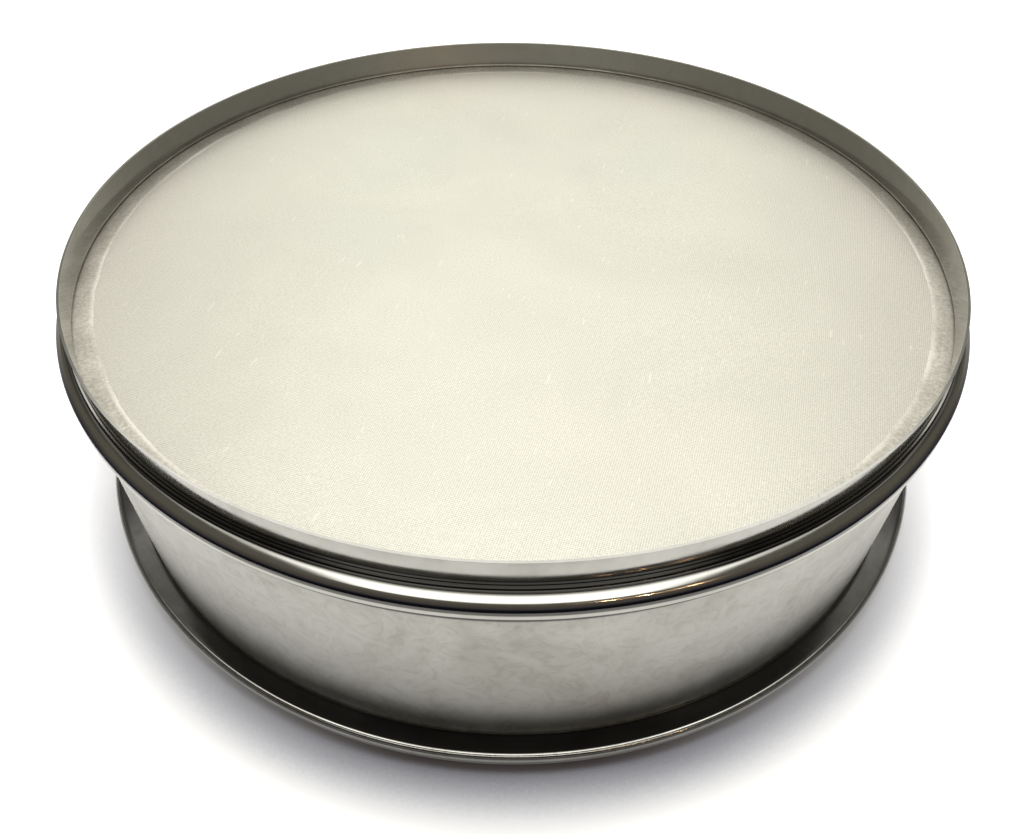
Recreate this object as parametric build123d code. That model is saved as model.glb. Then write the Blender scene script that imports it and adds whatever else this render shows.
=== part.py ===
"""A round laboratory test sieve of 200 mm class, made from thin stainless sheet.

It lies upside down, as it is put away: the rolled rim stands on the table and the skirt points up.
Millimetres, +Z up. The origin is on the sieve's axis, in the plane that the rim stands on.
Each ring is a folded strip of sheet, turned about Z. Its section is drawn flat, as radius across
and height up: the line of one skin of the sheet first, then the sheet's thickness beside it.
"""
from build123d import *
import math
import os

# Sheet and cloth
SHEET = 0.5                 # stainless sheet of the frame and the skirt
BEAD_SHEET = 0.35           # thinner sheet of the bead ring, which is rolled on last
CLOTH_THICKNESS = 0.3       # two crossing wires, pressed flat
SLIP_GAP = 0.10             # radial gap where one ring is pushed over another

# Frame: a straight wall with a rolled rim below and a folded hem above
WALL_RADIUS = 101.7         # outside of the straight wall
BOWL_DEPTH = 52.4           # rim to wire cloth
RIM_WIDTH = 5.6             # curl, measured outward from the wall's inner face
RIM_HEIGHT = 5.0            # curl, from the table up to its pressed level face
RIM_CORNER = 1.0            # outer radius of the curl's pressed corner
RIM_EDGE_GAP = 0.12         # slit between the curl's cut edge and the wall
HEM_GAP = 0.5               # between the wall and the edge folded down outside it
HEM_DEPTH = 2.6             # folded edge, below the hem's round top

# Skirt: the narrow ring that enters the rim of the next sieve
SKIRT_STEP = 1.7            # skirt's outside, inward from the wall's outside
SKIRT_DEPTH = 7.8           # free edge to wire cloth
FOOT_WIDTH = 1.55           # turned-out foot that presses on the cloth's edge
FOOT_BEND = 0.9             # inner radius of the foot's bend

# Bead ring: closes the joint from outside and holds cloth, skirt and frame together
BEAD_OVERHANG = 1.5         # bead's outside, beyond the wall's outside
BEAD_SECTION = 2.3          # outer radius of the bead's round shoulder
BEAD_DROP = 1.2             # shoulder's centre, below the cloth's upper side
LIP_HEIGHT = 1.95           # lip hugging the skirt, above the cloth's upper side
LIP_LEAN = 0.5              # degrees by which the lip leans in, to grip the skirt by its edge
LIP_FILLET = 0.3            # groove between lip and bead
BAND_DROP = 3.4             # lower end of the ring's upright band, below the same side
BAND_CORNER = 0.6           # outer radius where the band turns in under the hem

# Wire cloth and the solder that seals its edge
CLOTH_MARGIN = 0.5          # cloth's edge, beyond the wall's outer face
SOLDER_WIDTH = 4.3          # tinned band of cloth, inward from the skirt
SOLDER_HEIGHT = 0.35        # its thickness beside the skirt
SOLDER_FEATHER = 0.1        # its thickness at the inner edge

# Heights and radii that follow from them
cloth_top = BOWL_DEPTH + CLOTH_THICKNESS
skirt_top = cloth_top + SKIRT_DEPTH
wall_inner = WALL_RADIUS - SHEET
skirt_radius = WALL_RADIUS - SKIRT_STEP
skirt_inner = skirt_radius - SHEET
lip_outer = skirt_radius + SLIP_GAP + BEAD_SHEET
bead_outer = WALL_RADIUS + BEAD_OVERHANG
foot_outer_bend = FOOT_BEND + SHEET


def turned(section):
    """Turn a flat section, radius across and height up, about the sieve's axis."""
    return revolve(Plane.XZ * section, axis=Axis.Z)


def sheet_ring(skin, thickness):
    """Turn a folded strip of sheet. skin(depth) is its line at that depth below one face."""
    outer = skin(0)
    inner = skin(thickness)
    ends = [Line(outer @ 0, inner @ 0), Line(outer @ 1, inner @ 1)]
    return turned(make_face(outer.edges() + inner.edges() + ends))


def first_meeting(start, along, centre, radius):
    """Where a line from start, going along, first meets a circle."""
    to_centre = centre - start
    reach = to_centre.dot(along)
    half_chord = math.sqrt(radius**2 + reach**2 - to_centre.dot(to_centre))
    return start + along * (reach - half_chord)


def polar_angle(vector):
    """Direction of a flat vector, in degrees."""
    return math.degrees(math.atan2(vector.Y, vector.X))


def make_frame():
    """Wall, hem and rim. The rim curls out, round and back to the wall, pressed flat on top."""
    curl_radius = RIM_WIDTH / 2
    rim_outer = wall_inner + RIM_WIDTH
    corner_centre = Vector(rim_outer - RIM_CORNER, RIM_HEIGHT - RIM_CORNER)
    hem_radius = SHEET + HEM_GAP / 2
    hem_centre = Vector(wall_inner + hem_radius, BOWL_DEPTH - hem_radius)
    hem_outer = wall_inner + 2 * hem_radius

    def skin(depth):
        return Wire([
            Line((hem_outer - depth, BOWL_DEPTH - HEM_DEPTH), (hem_outer - depth, hem_centre.Y)),
            CenterArc(hem_centre, hem_radius - depth, 0, 180),
            Line((wall_inner + depth, hem_centre.Y), (wall_inner + depth, curl_radius)),
            CenterArc((wall_inner + curl_radius, curl_radius), curl_radius - depth, 180, 180),
            Line((rim_outer - depth, curl_radius), (rim_outer - depth, corner_centre.Y)),
            CenterArc(corner_centre, RIM_CORNER - depth, 0, 90),
            Line((corner_centre.X, RIM_HEIGHT - depth),
                 (WALL_RADIUS + RIM_EDGE_GAP, RIM_HEIGHT - depth)),
        ])

    return sheet_ring(skin, SHEET)


def make_skirt():
    """Straight skirt with its foot turned out over the cloth's edge."""

    def skin(depth):
        return FilletPolyline(
            (skirt_inner + depth, skirt_top),
            (skirt_inner + depth, cloth_top + depth),
            (skirt_radius + FOOT_WIDTH, cloth_top + depth),
            radius=foot_outer_bend - depth,
        )

    return sheet_ring(skin, SHEET)


def make_bead_ring():
    """Lip on the skirt, round shoulder, upright band, and an edge turned in under the hem."""
    bead_centre = Vector(bead_outer - BEAD_SECTION, cloth_top - BEAD_DROP)
    band_end = cloth_top - BAND_DROP
    corner_centre = Vector(bead_outer - BAND_CORNER, band_end + BAND_CORNER)
    lean = math.radians(LIP_LEAN)
    down_lip = Vector(math.sin(lean), -math.cos(lean))
    off_lip = Vector(math.cos(lean), math.sin(lean))

    def skin(depth):
        bead = BEAD_SECTION - depth
        lip_edge = Vector(lip_outer, cloth_top + LIP_HEIGHT) - off_lip * depth
        lip_root = first_meeting(lip_edge, down_lip, bead_centre, bead)
        lip_angle = polar_angle(lip_root - bead_centre)
        line = Wire([
            Line(lip_edge, lip_root),
            CenterArc(bead_centre, bead, lip_angle, -lip_angle),
            Line((bead_outer - depth, bead_centre.Y), (bead_outer - depth, corner_centre.Y)),
            CenterArc(corner_centre, BAND_CORNER - depth, 0, -90),
            Line((corner_centre.X, band_end + depth), (WALL_RADIUS + SLIP_GAP, band_end + depth)),
        ])
        return line.fillet_2d(LIP_FILLET + depth, [line.vertices().sort_by(Axis.Y)[-2]])

    return sheet_ring(skin, BEAD_SHEET)


def make_wire_cloth():
    """The cloth, stretched over the frame's hem and held under the skirt's foot."""
    disc = Cylinder(WALL_RADIUS + CLOTH_MARGIN, CLOTH_THICKNESS,
                    align=(Align.CENTER, Align.CENTER, Align.MIN))
    return Pos(0, 0, BOWL_DEPTH) * disc


def make_solder_band():
    """Tinned band on the cloth. It feathers out inward, and slopes off under the skirt's foot."""
    inner = skirt_inner - SOLDER_WIDTH
    under_foot = foot_outer_bend - SOLDER_HEIGHT - SLIP_GAP
    outer = skirt_inner + foot_outer_bend - math.sqrt(foot_outer_bend**2 - under_foot**2)
    return turned(make_face(Polyline(
        (inner, cloth_top),
        (outer + SOLDER_HEIGHT, cloth_top),
        (outer, cloth_top + SOLDER_HEIGHT),
        (skirt_inner, cloth_top + SOLDER_HEIGHT),
        (inner, cloth_top + SOLDER_FEATHER),
        close=True,
    )))


PARTS = {
    "frame": make_frame,
    "skirt": make_skirt,
    "bead_ring": make_bead_ring,
    "wire_cloth": make_wire_cloth,
    "solder_band": make_solder_band,
}

os.makedirs("parts", exist_ok=True)
for name, make in PARTS.items():
    solid = make()
    solid.label = name
    export_step(solid, f"parts/{name}.step")
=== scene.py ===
"""Laboratory test sieve, upside down on a pale floor, seen from above its front."""
import bpy
import math
from mathutils import Matrix, Vector, noise

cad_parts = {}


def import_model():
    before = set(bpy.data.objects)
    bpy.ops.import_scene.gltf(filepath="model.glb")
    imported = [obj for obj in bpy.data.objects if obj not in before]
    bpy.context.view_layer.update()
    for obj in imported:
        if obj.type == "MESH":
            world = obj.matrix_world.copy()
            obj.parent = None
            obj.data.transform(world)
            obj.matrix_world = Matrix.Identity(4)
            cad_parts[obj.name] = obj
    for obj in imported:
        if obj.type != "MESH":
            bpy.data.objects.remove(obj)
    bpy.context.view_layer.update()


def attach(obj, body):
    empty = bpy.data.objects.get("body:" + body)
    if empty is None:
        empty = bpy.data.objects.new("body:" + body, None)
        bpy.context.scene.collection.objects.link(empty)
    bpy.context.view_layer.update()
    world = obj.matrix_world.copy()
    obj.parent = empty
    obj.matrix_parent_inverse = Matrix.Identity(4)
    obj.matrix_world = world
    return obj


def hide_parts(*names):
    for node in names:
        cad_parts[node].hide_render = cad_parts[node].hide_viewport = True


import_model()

MM = 0.001
TURNS = 512                     # facets round each ring

# Sizes in millimetres, as in the solids
SHEET = 0.5
BEAD_SHEET = 0.35
WALL_INNER = 101.2
WALL_OUTER = 101.7
BOWL_DEPTH = 52.4
RIM_OUTER = 106.8
RIM_HEIGHT = 5.0
RIM_CORNER = 1.0
RIM_CURL = 2.8
CUT_EDGE = 101.82
CUT_ROUND = 0.22
HEM_RADIUS = 0.75
HEM_END = 49.8
CLOTH_TOP = 52.7
CLOTH_THICKNESS = 0.3
CLOTH_RADIUS = 102.2
SKIRT_TOP = 60.5
SKIRT_INNER = 99.5
FOOT_END = 101.55
FOOT_BEND = 0.9
LIP_OUTER = 100.45
LIP_TOP = 54.65
LIP_LEAN = math.radians(0.5)
LIP_FILLET = 0.3
BEAD_OUTER = 103.2
BEAD_SECTION = 2.3
BEAD_HEIGHT = 51.5
BAND_END = 49.3
BAND_CORNER = 0.6
UNDER_HEM = 101.8
SOLDER_INNER = 95.2
SOLDER_HEIGHT = 0.35

# Small unevenness that only the scene has, in millimetres
DISHING = 0.05                  # of the wall and the skirt, in and out
BEAD_WOBBLE = 0.04              # up and down
CLOTH_RIPPLE = 0.16
CLOTH_SAG = 0.12
SOLDER_LUMP = 0.03


# ---------------------------------------------------------------- sections

def arc(centre, radius, start, end, steps):
    """Points on an arc of a section, radius across and height up, angles in degrees."""
    angles = [math.radians(start + (end - start) * i / steps) for i in range(steps + 1)]
    return [(centre[0] + radius * math.cos(a), centre[1] + radius * math.sin(a)) for a in angles]


def run(start, end, steps):
    """Points on a straight run of a section, without its last point."""
    return [(start[0] + (end[0] - start[0]) * i / steps, start[1] + (end[1] - start[1]) * i / steps)
            for i in range(steps)]


def frame_skin(depth):
    """One face of the frame's sheet, from the hem's end to the rim's cut edge.

    depth is 0 for the polished face and the sheet's thickness for the other one.
    """
    hem = (WALL_INNER + HEM_RADIUS, BOWL_DEPTH - HEM_RADIUS)
    hem_outer = WALL_INNER + 2 * HEM_RADIUS - depth
    curl = (WALL_INNER + RIM_CURL, RIM_CURL)
    corner = (RIM_OUTER - RIM_CORNER, RIM_HEIGHT - RIM_CORNER)
    return (run((hem_outer, HEM_END), (hem_outer, hem[1]), 2)
            + arc(hem, HEM_RADIUS - depth, 0, 180, 10)
            + run((WALL_INNER + depth, hem[1]), (WALL_INNER + depth, RIM_CURL), 30)[1:]
            + arc(curl, RIM_CURL - depth, 180, 360, 26)
            + run((RIM_OUTER - depth, RIM_CURL), (RIM_OUTER - depth, corner[1]), 2)[1:]
            + arc(corner, RIM_CORNER - depth, 0, 90, 10)
            + run((corner[0], RIM_HEIGHT - depth), (CUT_EDGE + CUT_ROUND, RIM_HEIGHT - depth), 5)[1:]
            + cut_corner(depth))


def cut_corner(depth):
    """The rim's cut edge: rounded where the sheet's polished face ends."""
    if depth:
        return [(CUT_EDGE + CUT_ROUND, RIM_HEIGHT - depth), (CUT_EDGE, RIM_HEIGHT - depth)]
    return arc((CUT_EDGE + CUT_ROUND, RIM_HEIGHT - CUT_ROUND), CUT_ROUND, 90, 180, 6)


def skirt_skin(depth):
    """One face of the skirt's sheet, from its free edge to the end of its foot."""
    bend = (SKIRT_INNER + SHEET + FOOT_BEND, CLOTH_TOP + SHEET + FOOT_BEND)
    radius = SHEET + FOOT_BEND - depth
    return (run((SKIRT_INNER + depth, SKIRT_TOP), (SKIRT_INNER + depth, bend[1]), 8)
            + arc(bend, radius, 180, 270, 10)
            + [(FOOT_END, CLOTH_TOP + depth)])


def bead_skin(depth):
    """One face of the bead's sheet, from the lip over the round shoulder to the turned-in end."""
    centre = (BEAD_OUTER - BEAD_SECTION, BEAD_HEIGHT)
    radius = BEAD_SECTION - depth
    corner = (BEAD_OUTER - BAND_CORNER, BAND_END + BAND_CORNER)
    fillet = LIP_FILLET + depth
    lip = (LIP_OUTER - math.cos(LIP_LEAN) * depth, LIP_TOP - math.sin(LIP_LEAN) * depth)
    # the fillet's centre lies off the leaning lip, and outside the bead's round section
    reach = radius + fillet
    off = (lip[0] + fillet * math.cos(LIP_LEAN), lip[1] + fillet * math.sin(LIP_LEAN))
    along = (math.sin(LIP_LEAN), -math.cos(LIP_LEAN))
    to_centre = (centre[0] - off[0], centre[1] - off[1])
    middle = to_centre[0] * along[0] + to_centre[1] * along[1]
    apart = to_centre[0] ** 2 + to_centre[1] ** 2 - middle ** 2
    step = middle - math.sqrt(reach ** 2 - apart)
    hollow = (off[0] + along[0] * step, off[1] + along[1] * step)
    meets = math.degrees(math.atan2(centre[1] - hollow[1], centre[0] - hollow[0]))
    foot = (hollow[0] - fillet * math.cos(LIP_LEAN), hollow[1] - fillet * math.sin(LIP_LEAN))
    return (run(lip, foot, 4)
            + arc(hollow, fillet, -180 + math.degrees(LIP_LEAN), meets, 8)[:-1]
            + arc(centre, radius, meets + 180, 0, 26)
            + run((BEAD_OUTER - depth, BEAD_HEIGHT), (BEAD_OUTER - depth, corner[1]), 3)[1:]
            + arc(corner, BAND_CORNER - depth, 0, -90, 8)
            + [(UNDER_HEM, BAND_END + depth)])


# ------------------------------------------------------------------ pieces

def smooth_mesh(name, verts, faces, sharp=35.0):
    """A mesh object with smooth faces and sharp edges where they turn by more than an angle."""
    mesh = bpy.data.meshes.new(name)
    mesh.from_pydata(verts, [], faces)
    mesh.update()
    mesh.polygons.foreach_set("use_smooth", [True] * len(mesh.polygons))
    mesh.set_sharp_from_angle(angle=math.radians(sharp))
    obj = bpy.data.objects.new(name, mesh)
    bpy.context.scene.collection.objects.link(obj)
    return obj


def on_ring(radius, angle, height):
    """A point in metres, its angle counted from the front."""
    return (radius * math.sin(angle) * MM, -radius * math.cos(angle) * MM, height * MM)


def ring_faces(columns, count):
    """Faces between neighbouring closed sections of count points, right round."""
    faces = []
    for i in range(columns):
        a, b = i * count, (i + 1) % columns * count
        for j in range(count):
            k = (j + 1) % count
            faces.append((a + j, b + j, b + k, a + k))
    return faces


def turned(name, section, shift):
    """Turn a closed section about Z. shift(radius, height, angle) gives small changes of both."""
    verts = []
    for i in range(TURNS):
        angle = 2 * math.pi * i / TURNS
        for radius, height in section:
            outward, upward = shift(radius, height, angle)
            verts.append(on_ring(radius + outward, angle, height + upward))
    obj = smooth_mesh(name, verts, ring_faces(TURNS, len(section)))
    facing_out(obj)
    return obj


def facing_out(obj):
    """Turn every face outward, by the sign of the closed mesh's volume."""
    mesh = obj.data
    volume = 0.0
    for poly in mesh.polygons:
        volume += poly.center.dot(poly.normal) * poly.area
    if volume < 0:
        mesh.flip_normals()


def sheet_section(skin, thickness):
    """A closed section of sheet, from both of its faces."""
    return skin(0) + skin(thickness)[::-1]


def ring_noise(angle, height, around, up, seed):
    """Smooth noise on a ring, without a seam."""
    return noise.noise(Vector((math.sin(angle) * around, math.cos(angle) * around,
                               height * up + seed)))


def wall_shift(radius, height, angle):
    """Shallow dishing of thin spun sheet, nothing at the rim's foot or under the bead."""
    ease = max(0.0, min(1.0, (height - 7) / 8, (48 - height) / 6))
    return DISHING * ease * ring_noise(angle, height, 4.0, 0.05, 3.1), 0.0


def bead_shift(radius, height, angle):
    """A slight wobble of the rolled bead, nothing at its lip."""
    ease = max(0.0, min(1.0, (radius - 100.7) / 0.8))
    return 0.0, BEAD_WOBBLE * ease * ring_noise(angle, 0.0, 9.0, 0.0, 7.7)


def skirt_shift(radius, height, angle):
    """The same dishing on the skirt, nothing at its foot."""
    ease = max(0.0, min(1.0, (height - 55.5) / 3))
    return DISHING * ease * ring_noise(angle, height, 3.0, 0.1, 1.3), 0.0


def solder_piece():
    """A thin tinned band with a ragged inner edge and a slightly lumpy top."""
    columns, rows = 1024, 12
    outer = SKIRT_INNER + 0.6
    sunk = 0.01
    verts = []
    for i in range(columns):
        angle = 2 * math.pi * i / columns
        ragged = (0.55 * ring_noise(angle, 0, 5.0, 0, 11.0) + 0.22 * ring_noise(angle, 0, 22.0, 0, 4.0)
                  + 0.12 * ring_noise(angle, 0, 70.0, 0, 9.0))
        inner = SOLDER_INNER + 0.3 + ragged
        for j in range(rows + 1):
            t = j / rows
            r = inner + (outer - inner) * t
            lump = SOLDER_LUMP * ring_noise(angle, r, 40.0, 1.4, 2.0)
            thick = 0.02 + (SOLDER_HEIGHT - 0.05) * t ** 0.8 + lump * min(1.0, 4 * t)
            if j == 0:
                thick = -sunk
            verts.append(on_ring(r, angle, CLOTH_TOP + thick))
        verts.append(on_ring(outer, angle, CLOTH_TOP - sunk))
    obj = smooth_mesh("solder_band_tinned", verts, ring_faces(columns, rows + 2), 50)
    facing_out(obj)
    return obj


def cloth_piece():
    """The stretched cloth: a thin disc with faint waves, flat where it is held."""
    rings, columns = 90, 256
    verts, faces = [], []
    for side in (0, 1):
        base = len(verts)
        level = CLOTH_TOP - side * CLOTH_THICKNESS
        verts.append((0, 0, (level + cloth_wave(0, 0)) * MM))
        for i in range(1, rings + 1):
            r = CLOTH_RADIUS * (i / rings)
            for k in range(columns):
                angle = 2 * math.pi * k / columns
                x, y = r * math.sin(angle), -r * math.cos(angle)
                verts.append((x * MM, y * MM, (level + cloth_wave(x, y)) * MM))
        for k in range(columns):
            n = (k + 1) % columns
            tri = (base, base + 1 + k, base + 1 + n)
            faces.append(tri if side == 0 else tri[::-1])
        for i in range(rings - 1):
            for k in range(columns):
                n = (k + 1) % columns
                a, b = base + 1 + i * columns, base + 1 + (i + 1) * columns
                quad = (a + k, b + k, b + n, a + n)
                faces.append(quad if side == 0 else quad[::-1])
    top = 1 + (rings - 1) * columns
    low = top + 1 + rings * columns
    for k in range(columns):
        n = (k + 1) % columns
        faces.append((top + k, low + k, low + n, top + n))
    return smooth_mesh("wire_cloth_woven", verts, faces, 60)


def cloth_wave(x, y):
    """The cloth's rise at a place, zero from a radius of 96 mm outward."""
    r = math.hypot(x, y)
    ease = max(0.0, min(1.0, (96 - r) / 30))
    ease = ease * ease * (3 - 2 * ease)
    wave = noise.noise(Vector((x / 34, y / 34, 5.5))) + 0.4 * noise.noise(Vector((x / 13, y / 13, 1.5)))
    return ease * (CLOTH_RIPPLE * wave - CLOTH_SAG)


# --------------------------------------------------------------- materials

STEEL = (0.61, 0.605, 0.57)
DULL = (0.44, 0.425, 0.385)
PAINTED_GROOVE_SHADE = (0.004, 0.0037, 0.0034)

# Plain weave. The sides are toned down with painted shade.
WEAVE_PITCH = 0.0004
WEAVE_TURN = math.radians(17)
WIRE_LIGHT = (0.775, 0.772, 0.685)
WIRE_DARK = (0.695, 0.697, 0.622)
WIRE_WARM = (0.745, 0.70, 0.635)
WIRE_SIDE_SHADE = (0.665, 0.63, 0.575)
WIRE_SHADE = (0.47, 0.455, 0.37)
WIRE_CREST_HIGHLIGHT = (1.0, 0.99, 0.9)
WIRE_DASH_GLINT = (1.0, 1.0, 0.95)
WIRE_OPENING_SHADE = (0.20, 0.19, 0.15)

TIN_DULL = (0.50, 0.475, 0.41)
TIN_BRIGHT = (0.66, 0.635, 0.56)
TIN_DRAG = (0.72, 0.70, 0.63)
TIN_PIT = (0.28, 0.26, 0.22)
TIN_EDGE_HIGHLIGHT = (0.86, 0.83, 0.76)


class Shader:
    """Small helper that adds nodes to a tree."""

    def __init__(self, tree):
        self.tree = tree

    def add(self, kind, **values):
        node = self.tree.nodes.new(kind)
        for key, value in values.items():
            setattr(node, key, value)
        return node

    def link(self, source, target):
        self.tree.links.new(source, target)

    def math(self, operation, a, b=None, clamp=False):
        node = self.add("ShaderNodeMath", operation=operation, use_clamp=clamp)
        for socket, value in zip(node.inputs, (a, b)):
            if value is None:
                continue
            if isinstance(value, (int, float)):
                socket.default_value = value
            else:
                self.link(value, socket)
        return node.outputs[0]

    def split(self, vector):
        node = self.add("ShaderNodeSeparateXYZ")
        self.link(vector, node.inputs[0])
        return node.outputs

    def reach(self, x, y):
        """Distance from the axis."""
        squares = self.math("ADD", self.math("MULTIPLY", x, x), self.math("MULTIPLY", y, y))
        return self.math("SQRT", squares)

    def join(self, x, y, z):
        node = self.add("ShaderNodeCombineXYZ")
        for socket, value in zip(node.inputs, (x, y, z)):
            if isinstance(value, (int, float)):
                socket.default_value = value
            else:
                self.link(value, socket)
        return node.outputs[0]

    def noise(self, vector, scale, detail=3.0, rough=0.5, distort=0.0):
        node = self.add("ShaderNodeTexNoise")
        self.link(vector, node.inputs["Vector"])
        node.inputs["Scale"].default_value = scale
        node.inputs["Detail"].default_value = detail
        node.inputs["Roughness"].default_value = rough
        node.inputs["Distortion"].default_value = distort
        return node.outputs["Fac"]

    def ramp(self, value, low, high, to_low, to_high):
        node = self.add("ShaderNodeMapRange")
        self.link(value, node.inputs["Value"])
        for key, number in (("From Min", low), ("From Max", high),
                            ("To Min", to_low), ("To Max", to_high)):
            node.inputs[key].default_value = number
        return node.outputs["Result"]

    def soft(self, value, start, end):
        """A smooth step from 0 at start to 1 at end."""
        node = self.add("ShaderNodeMapRange", interpolation_type="SMOOTHSTEP")
        self.link(value, node.inputs["Value"])
        node.inputs["From Min"].default_value = start
        node.inputs["From Max"].default_value = end
        return node.outputs["Result"]

    def band(self, value, low, low_full, high_full, high):
        """1 between two limits given in millimetres, fading to 0 outside them."""
        rise = self.ramp(value, low * MM, low_full * MM, 0.0, 1.0)
        fall = self.ramp(value, high_full * MM, high * MM, 1.0, 0.0)
        return self.math("MULTIPLY", rise, fall)

    def mix(self, factor, a, b):
        node = self.add("ShaderNodeMix", data_type="RGBA")
        colours = [s for s in node.inputs if s.type == "RGBA"]
        factors = [s for s in node.inputs if s.name == "Factor" and s.type == "VALUE"]
        if isinstance(factor, (int, float)):
            factors[0].default_value = factor
        else:
            self.link(factor, factors[0])
        for socket, value in zip(colours, (a, b)):
            if isinstance(value, tuple):
                socket.default_value = (*value, 1.0)
            else:
                self.link(value, socket)
        return [s for s in node.outputs if s.type == "RGBA"][0]

    def bump(self, height, distance, strength):
        node = self.add("ShaderNodeBump")
        node.inputs["Strength"].default_value = strength
        node.inputs["Distance"].default_value = distance
        self.link(height, node.inputs["Height"])
        return node.outputs["Normal"]


class Paint(Shader):
    """The same helper on a new material, with the object's own coordinates as its place."""

    def __init__(self, name):
        self.material = bpy.data.materials.new(name)
        self.material.use_nodes = True
        super().__init__(self.material.node_tree)
        self.surface = self.tree.nodes["Principled BSDF"]
        self.place = self.add("ShaderNodeTexCoord").outputs["Object"]

    def end_with(self, shader):
        """Let another shader take the place of the usual one."""
        self.tree.nodes.remove(self.surface)
        self.link(shader, self.tree.nodes["Material Output"].inputs["Surface"])


def steel(name, colour, dull, low_rough, high_rough, smudge, grooves, satin=0.0):
    """Spun stainless sheet: fine lines round the axis, cloudy handling marks, painted shade in grooves.

    grooves are bands of radius and of height in millimetres, and the depth of tone: the sheet is
    painted almost black as shade and dark reflection, where it meets its neighbour in a corner and on
    some flanks, a little less at the back.
    """
    s = Paint(name)
    x, y, z = s.split(s.place)
    radius = s.reach(x, y)
    across = s.math("ADD", radius, z)
    lines = s.noise(s.join(s.math("MULTIPLY", x, 30), s.math("MULTIPLY", y, 30),
                           s.math("MULTIPLY", across, 5200)), 1.0, 4, 0.6)
    clouds = s.noise(s.place, 32, 5, 0.62, 0.9)
    marks = s.noise(s.place, 210, 6, 0.7, 1.8)
    streaks = s.noise(s.join(s.math("MULTIPLY", x, 260), s.math("MULTIPLY", y, 260),
                             s.math("MULTIPLY", z, 22)), 1.0, 2, 0.5)
    dirt = s.math("ADD", s.ramp(clouds, 0.42, 0.64, 0.0, 0.55), s.ramp(marks, 0.46, 0.72, 0.0, 0.6))
    tone = s.mix(s.math("MULTIPLY", dirt, smudge, clamp=True), colour, dull)
    # painted shade weight: full at the front, a little less at the back
    shade_front_weight = s.ramp(y, -0.1, -0.055, 1.0, 0.88)
    for radii, heights, depth in grooves:
        inside = s.math("MULTIPLY", s.band(radius, *radii), s.band(z, *heights))
        inside = s.math("MULTIPLY", inside, shade_front_weight)
        tone = s.mix(s.math("MULTIPLY", inside, depth), tone, PAINTED_GROOVE_SHADE)
    s.link(tone, s.surface.inputs["Base Color"])
    rough = s.math("ADD", s.ramp(clouds, 0.35, 0.65, low_rough, high_rough),
                   s.ramp(lines, 0.3, 0.7, -0.02, 0.02))
    if satin:
        wall = s.band(radius, WALL_INNER - 1, WALL_INNER, WALL_OUTER + 0.05, WALL_OUTER + 0.15)
        rough = s.math("ADD", rough, s.math("MULTIPLY", wall, satin))
    rough = s.math("ADD", rough, s.ramp(streaks, 0.35, 0.7, 0.0, 0.03), clamp=True)
    s.link(rough, s.surface.inputs["Roughness"])
    s.surface.inputs["Metallic"].default_value = 1.0
    s.link(s.bump(lines, 0.000004, 0.35), s.surface.inputs["Normal"])
    return s.material


def woven_wire():
    """Plain weave of fine wire at a 0.4 mm pitch, with faint blotches, painted glints, painted crest
    highlight and painted shade.
    """
    s = Paint("woven_wire_cloth")
    turn = s.add("ShaderNodeMapping")
    s.link(s.place, turn.inputs["Vector"])
    turn.inputs["Rotation"].default_value = (0, 0, WEAVE_TURN)
    x, y, _ = s.split(turn.outputs[0])
    ax = s.math("MULTIPLY", x, math.pi / WEAVE_PITCH)
    ay = s.math("MULTIPLY", y, math.pi / WEAVE_PITCH)
    wave_x = s.math("ABSOLUTE", s.math("SINE", ax))
    wave_y = s.math("ABSOLUTE", s.math("SINE", ay))
    over = s.math("MULTIPLY", s.math("COSINE", ax), s.math("COSINE", ay))
    warp = s.math("ADD", wave_x, s.math("MULTIPLY", over, 0.5))
    weft = s.math("SUBTRACT", wave_y, s.math("MULTIPLY", over, 0.5))
    height = s.math("MAXIMUM", warp, weft)
    hole = s.math("MULTIPLY", s.ramp(wave_x, 0.6, 0.1, 0.0, 1.0), s.ramp(wave_y, 0.6, 0.1, 0.0, 1.0))
    knuckle = s.ramp(s.math("ABSOLUTE", over), 0.0, 0.35, 1.0, 0.0)
    grain = s.noise(s.place, 2300, 2, 0.7)
    blotch = s.noise(s.place, 24, 4, 0.6, 0.8)
    patch = s.noise(s.place, 9, 2, 0.5)
    dashes = s.noise(s.join(s.math("MULTIPLY", x, 900), s.math("MULTIPLY", y, 160), 0.0), 1.0, 2, 0.5)
    body = s.mix(s.ramp(blotch, 0.35, 0.68, 0.0, 1.0), WIRE_LIGHT, WIRE_DARK)
    body = s.mix(s.ramp(patch, 0.45, 0.7, 0.0, 0.5), body, WIRE_WARM)
    # painted shade: the cloth darker and warmer towards the sides
    aside = s.ramp(s.math("ABSOLUTE", s.split(s.place)[0]), 0.04, 0.1, 0.0, 0.8)
    body = s.mix(aside, body, WIRE_SIDE_SHADE)
    body = s.mix(s.ramp(grain, 0.34, 0.66, 0.50, 0.0), body, WIRE_SHADE)
    # painted highlight along the crests of the wires
    body = s.mix(s.math("MULTIPLY", knuckle, 0.40), body, WIRE_CREST_HIGHLIGHT)
    # painted glints: short bright dashes
    body = s.mix(s.ramp(dashes, 0.68, 0.76, 0.0, 0.35), body, WIRE_DASH_GLINT)
    # painted shade in the openings between the wires
    body = s.mix(s.math("MULTIPLY", hole, 0.85), body, WIRE_OPENING_SHADE)
    s.link(body, s.surface.inputs["Base Color"])
    s.surface.inputs["Metallic"].default_value = 0.7
    s.surface.inputs["Roughness"].default_value = 0.48
    s.link(s.bump(height, 0.00004, 0.4), s.surface.inputs["Normal"])
    return s.material


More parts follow.
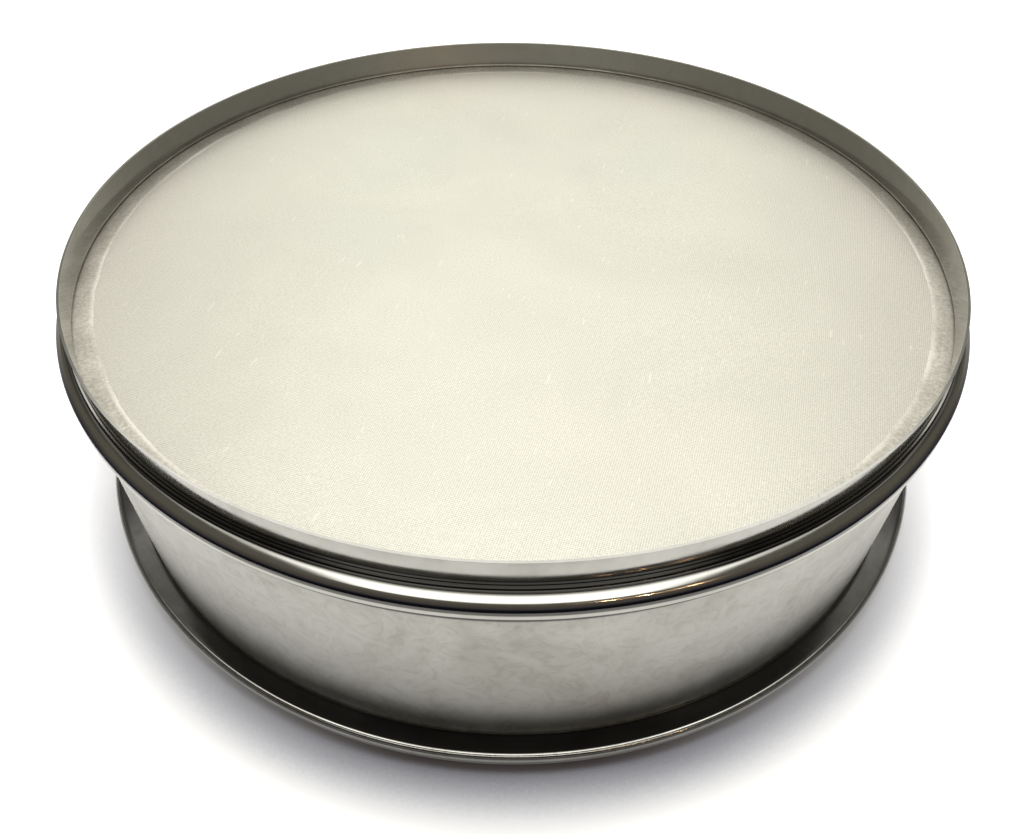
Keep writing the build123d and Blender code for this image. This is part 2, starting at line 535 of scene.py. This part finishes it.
def solder():
    """Dull tin, grainy, with fine radial drag marks and small bright specks, and a painted highlight on
    its inner edge.
    """
    s = Paint("tinned_solder")
    x, y, _ = s.split(s.place)
    angle = s.math("ARCTAN2", x, s.math("MULTIPLY", y, -1))
    radius = s.reach(x, y)
    drag = s.noise(s.join(s.math("MULTIPLY", angle, 260), s.math("MULTIPLY", radius, 500), 0.0),
                   1.0, 3, 0.6)
    grain = s.noise(s.place, 1500, 3, 0.7)
    patch = s.noise(s.place, 90, 3, 0.6)
    body = s.mix(s.ramp(patch, 0.35, 0.65, 0.0, 1.0), TIN_DULL, TIN_BRIGHT)
    body = s.mix(s.ramp(drag, 0.4, 0.7, 0.0, 0.6), body, TIN_DRAG)
    body = s.mix(s.ramp(grain, 0.35, 0.6, 0.40, 0.0), body, TIN_PIT)
    # painted highlight along the ragged inner edge, patchy
    inner = s.math("MULTIPLY", s.band(radius, 94.6, 95.0, 95.9, 96.6),
                   s.ramp(s.noise(s.place, 30, 2, 0.5), 0.4, 0.6, 0.1, 0.75))
    body = s.mix(inner, body, TIN_EDGE_HIGHLIGHT)
    s.link(body, s.surface.inputs["Base Color"])
    s.link(s.ramp(grain, 0.3, 0.7, 0.55, 0.32), s.surface.inputs["Roughness"])
    s.surface.inputs["Metallic"].default_value = 0.8
    height = s.math("ADD", s.math("MULTIPLY", drag, 0.6), s.math("MULTIPLY", grain, 0.6))
    s.link(s.bump(height, 0.00012, 0.6), s.surface.inputs["Normal"])
    return s.material


def dress(obj, node, material):
    """Give a piece its material, and let it stand for a node of the part."""
    obj.data.materials.append(material)
    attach(obj, "root")
    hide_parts(node)


# Painted shade and dark reflection, in grooves and on flanks: a band of radius and a band of height,
# each rising and falling, and a depth
# painted dark reflection on the rim's level face, from the wall to its corner
RIM_GROOVE_SHADE = ((101.8, 102.1, 105.8, 106.0), (4.3, 4.8, 5.1, 5.3), 0.988)
# painted dark reflection on the rim's outer flank, just under its corner
RIM_FLANK_SHADE = ((106.0, 106.2, 107.0, 107.3), (4.0, 4.25, 4.7, 4.85), 0.85)
# painted shade on the rim's curl low down, near the floor
RIM_UNDER_SHADE = ((103.0, 104.0, 107.0, 107.3), (-1.0, 0.0, 2.9, 3.4), 0.6)
# painted shade on the wall just under the bead's band
WALL_SEAM_SHADE = ((101.3, 101.6, 101.8, 101.9), (46.5, 46.9, 48.5, 49.5), 0.80)
# painted shade and dark reflection on the skirt's lower outer face, over the bead
SKIRT_GROOVE_SHADE = ((99.7, 99.9, 102.0, 103.0), (50.0, 51.0, 55.7, 56.7), 0.965)
# painted shade on the skirt's inner face, down to the cloth
SKIRT_INSIDE_SHADE = ((99.0, 99.2, 99.62, 99.8), (53.0, 54.0, 60.3, 60.45), 0.60)
# painted shade on the skirt's free edge
SKIRT_EDGE_SHADE = ((99.0, 99.3, 100.2, 100.5), (60.35, 60.45, 60.6, 60.8), 0.38)
# painted shade in the groove at the bead's lip, against the skirt
LIP_GROOVE_SHADE = ((99.0, 100.0, 101.0, 101.6), (53.2, 53.6, 54.15, 54.4), 0.92)
# painted dark reflection on the bead's outer flank
BEAD_FLANK_SHADE = ((102.6, 102.9, 104.0, 105.0), (50.7, 51.0, 52.2, 52.5), 0.80)
# painted shade along the lower edge of the bead's band
SEAM_SHADE = ((100.0, 101.0, 104.0, 105.0), (48.0, 49.0, 49.75, 49.95), 0.85)
dress(turned("frame_spun", sheet_section(frame_skin, SHEET), wall_shift), "frame",
      steel("frame_steel", STEEL, DULL, 0.12, 0.17, 1.15,
                              [RIM_GROOVE_SHADE, RIM_FLANK_SHADE, RIM_UNDER_SHADE, WALL_SEAM_SHADE], 0.17))
dress(turned("skirt_spun", sheet_section(skirt_skin, SHEET), skirt_shift), "skirt",
      steel("skirt_steel", STEEL, DULL, 0.08, 0.15, 0.5,
                              [SKIRT_GROOVE_SHADE, SKIRT_INSIDE_SHADE, SKIRT_EDGE_SHADE]))
dress(turned("bead_rolled", sheet_section(bead_skin, BEAD_SHEET), bead_shift), "bead_ring",
      steel("bead_steel", STEEL, DULL, 0.09, 0.15, 0.4,
                             [LIP_GROOVE_SHADE, BEAD_FLANK_SHADE, SEAM_SHADE]))
dress(solder_piece(), "solder_band", solder())
dress(cloth_piece(), "wire_cloth", woven_wire())


# ------------------------------------------------------------------- stage

FLOOR_HALF = 4.0
CONTACT_REACH = 0.023           # how far from the object the floor's contact shade goes
SHADE_DEEP = (0.05, 0.043, 0.042)
SHADE_MIDDLE = (0.27, 0.275, 0.31)
TABLE_LIT = (0.97, 0.97, 0.98)
TABLE_MIRRORED = (0.95, 0.95, 0.95)
TABLE_BARE = (0.85, 0.85, 0.85)
RING_LOW = (0.030, 0.032, 0.045)
RING_HIGH = (0.10, 0.085, 0.070)
RING_END = (0.78, 0.78, 0.77)
RING_CHANGE = 0.050             # height at which the ring's tone changes
LAMP_COLOUR = (1.0, 0.62, 0.34)
LAMP_STRENGTH = 75
LAMP_RADIUS = 0.0065
LAMP_DISTANCE = 0.6
LAMPS_FROM = Vector((0.02, -0.10, 0.053))
CEILING = (2.05, 2.02, 1.93)
BACK = (1.1, 1.09, 1.03)
HORIZON = (0.90, 0.90, 0.92)
SIDES = (0.125, 0.118, 0.095)
WHITE = (1.0, 1.0, 1.0)


def stage_mesh(name, verts, faces):
    """A flat-shaded piece of the studio."""
    mesh = bpy.data.meshes.new(name)
    mesh.from_pydata(verts, [], faces)
    obj = bpy.data.objects.new(name, mesh)
    bpy.context.scene.collection.objects.link(obj)
    return obj


def contact_shade(s):
    """Painted shade from occlusion, from almost black under the object to white in the open, weaker
    away from the front.
    """
    near = s.add("ShaderNodeAmbientOcclusion", samples=16)
    near.inputs["Distance"].default_value = CONTACT_REACH
    shade = s.add("ShaderNodeValToRGB")
    stops = shade.color_ramp.elements
    stops[0].position, stops[0].color = 0.0, (*SHADE_DEEP, 1)
    stops[1].position, stops[1].color = 1.0, (*WHITE, 1)
    middle = stops.new(0.5)
    middle.color = (*SHADE_MIDDLE, 1)
    s.link(s.ramp(near.outputs["AO"], 0.55, 0.97, 0.0, 1.0), shade.inputs[0])
    # painted light: the shade is lifted away from the front
    lit = s.ramp(s.split(s.place)[1], -0.105, -0.035, 0.0, 0.62)
    return s.mix(lit, shade.outputs[0], TABLE_LIT)


def floor_material():
    """White table: bare white where it is seen, with a painted soft shade close round the object."""
    s = Paint("white_table")
    shade = contact_shade(s)
    path = s.add("ShaderNodeLightPath").outputs
    mirrored = s.math("MAXIMUM", path["Is Glossy Ray"], path["Is Transmission Ray"])
    seen = s.math("MAXIMUM", path["Is Camera Ray"], mirrored)
    softer = s.mix(s.math("MULTIPLY", mirrored, 0.45), shade, TABLE_MIRRORED)
    diffuse = s.add("ShaderNodeBsdfDiffuse")
    s.link(s.mix(seen, TABLE_BARE, softer), diffuse.inputs["Color"])
    glow = s.add("ShaderNodeEmission")
    s.link(shade, glow.inputs["Color"])
    s.link(s.math("ADD", s.math("MULTIPLY", path["Is Camera Ray"], 0.45),
                  s.math("MULTIPLY", mirrored, 0.08)), glow.inputs["Strength"])
    both = s.add("ShaderNodeAddShader")
    s.link(diffuse.outputs[0], both.inputs[0])
    s.link(glow.outputs[0], both.inputs[1])
    s.end_with(both.outputs[0])
    return s.material


corners = [(-FLOOR_HALF, -FLOOR_HALF, 0), (FLOOR_HALF, -FLOOR_HALF, 0),
           (FLOOR_HALF, FLOOR_HALF, 0), (-FLOOR_HALF, FLOOR_HALF, 0)]
floor = stage_mesh("floor", corners, [(0, 1, 2, 3)])
floor.data.materials.append(floor_material())


def mirror_only(obj):
    """Only mirror-like reflections show this piece: it lights and shades nothing."""
    obj.visible_camera = False
    obj.visible_diffuse = False
    obj.visible_shadow = False
    obj.visible_transmission = False


def ring_material():
    """Navy low on the card, brown above, and its ends fading to the room's pale tone."""
    s = Paint("card_navy")
    _, y, z = s.split(s.place)
    glow = s.add("ShaderNodeEmission")
    upper = s.ramp(z, RING_CHANGE - 0.006, RING_CHANGE + 0.006, 0.0, 1.0)
    tone = s.mix(upper, RING_LOW, RING_HIGH)
    s.link(s.mix(s.soft(y, -0.06, 0.045), tone, RING_END), glow.inputs["Color"])
    s.end_with(glow.outputs[0])
    return s.material


def card_ring():
    """A dark strip that stands in an arc before the object."""
    radius, low, high, half, steps = 0.125, 0.026, 0.061, 115, 46
    verts, faces = [], []
    for i in range(steps + 1):
        angle = math.radians(-half + 2 * half * i / steps)
        for z in (low, high):
            verts.append((radius * math.sin(angle), -radius * math.cos(angle), z))
    for i in range(steps):
        faces.append((2 * i, 2 * i + 2, 2 * i + 3, 2 * i + 1))
    ring = stage_mesh("card_ring", verts, faces)
    ring.data.materials.append(ring_material())
    mirror_only(ring)


def small_lamp(name, direction):
    """A far warm lamp, seen only as a spark in polished metal."""
    place = LAMPS_FROM + Vector(direction).normalized() * LAMP_DISTANCE
    bpy.ops.mesh.primitive_uv_sphere_add(segments=16, ring_count=8, radius=LAMP_RADIUS,
                                         location=place)
    bulb = bpy.context.object
    bulb.name = name
    s = Paint(name)
    glow = s.add("ShaderNodeEmission")
    glow.inputs["Color"].default_value = (*LAMP_COLOUR, 1)
    glow.inputs["Strength"].default_value = LAMP_STRENGTH
    s.end_with(glow.outputs[0])
    bulb.data.materials.append(s.material)
    mirror_only(bulb)


card_ring()
small_lamp("spark_a", (0.320, -0.852, 0.41))
small_lamp("spark_b", (0.447, -0.804, 0.39))
small_lamp("spark_c", (0.586, -0.725, 0.36))


def world():
    """A room with a broad bright ceiling, a pale back and dim sides; white to the camera."""
    made = bpy.data.worlds.new("studio")
    bpy.context.scene.world = made
    made.use_nodes = True
    s = Shader(made.node_tree)
    x, y, z = s.split(s.add("ShaderNodeTexCoord").outputs["Generated"])
    aside = s.math("ABSOLUTE", x)
    ceiling = s.math("MULTIPLY", s.soft(z, 0.58, 0.68), s.soft(aside, 0.58, 0.38))
    behind = s.math("MULTIPLY", s.math("MULTIPLY", s.soft(y, 0.2, 0.6), s.soft(z, 0.10, 0.30)),
                    s.soft(aside, 0.62, 0.25))
    tone = s.mix(s.soft(z, 0.16, 0.04), SIDES, HORIZON)
    tone = s.mix(behind, tone, BACK)
    tone = s.mix(ceiling, tone, CEILING)
    path = s.add("ShaderNodeLightPath").outputs
    back = s.tree.nodes["Background"]
    s.link(s.mix(path["Is Camera Ray"], tone, WHITE), back.inputs["Color"])
    back.inputs["Strength"].default_value = 1.0


world()

# ------------------------------------------------------------------ camera

TILT = math.radians(45.4939)
ROLL = math.radians(0.7)
right = Vector((1, 0, 0))
up = Vector((0, math.sin(TILT), math.cos(TILT)))
ahead = Vector((0, math.cos(TILT), -math.sin(TILT)))
cam_right = right * math.cos(ROLL) + up * math.sin(ROLL)
cam_up = up * math.cos(ROLL) - right * math.sin(ROLL)
camera_data = bpy.data.cameras.new("camera")
camera_data.lens = 28.125
camera_data.sensor_width = 36.0
camera_data.clip_start = 0.01
camera = bpy.data.objects.new("camera", camera_data)
camera.matrix_world = Matrix.Translation((0, -0.16748, 0.16004)) @ Matrix(
    (cam_right, cam_up, -ahead)).transposed().to_4x4()
bpy.context.scene.collection.objects.link(camera)
bpy.context.scene.camera = camera
bpy.context.scene.view_settings.view_transform = "Standard"
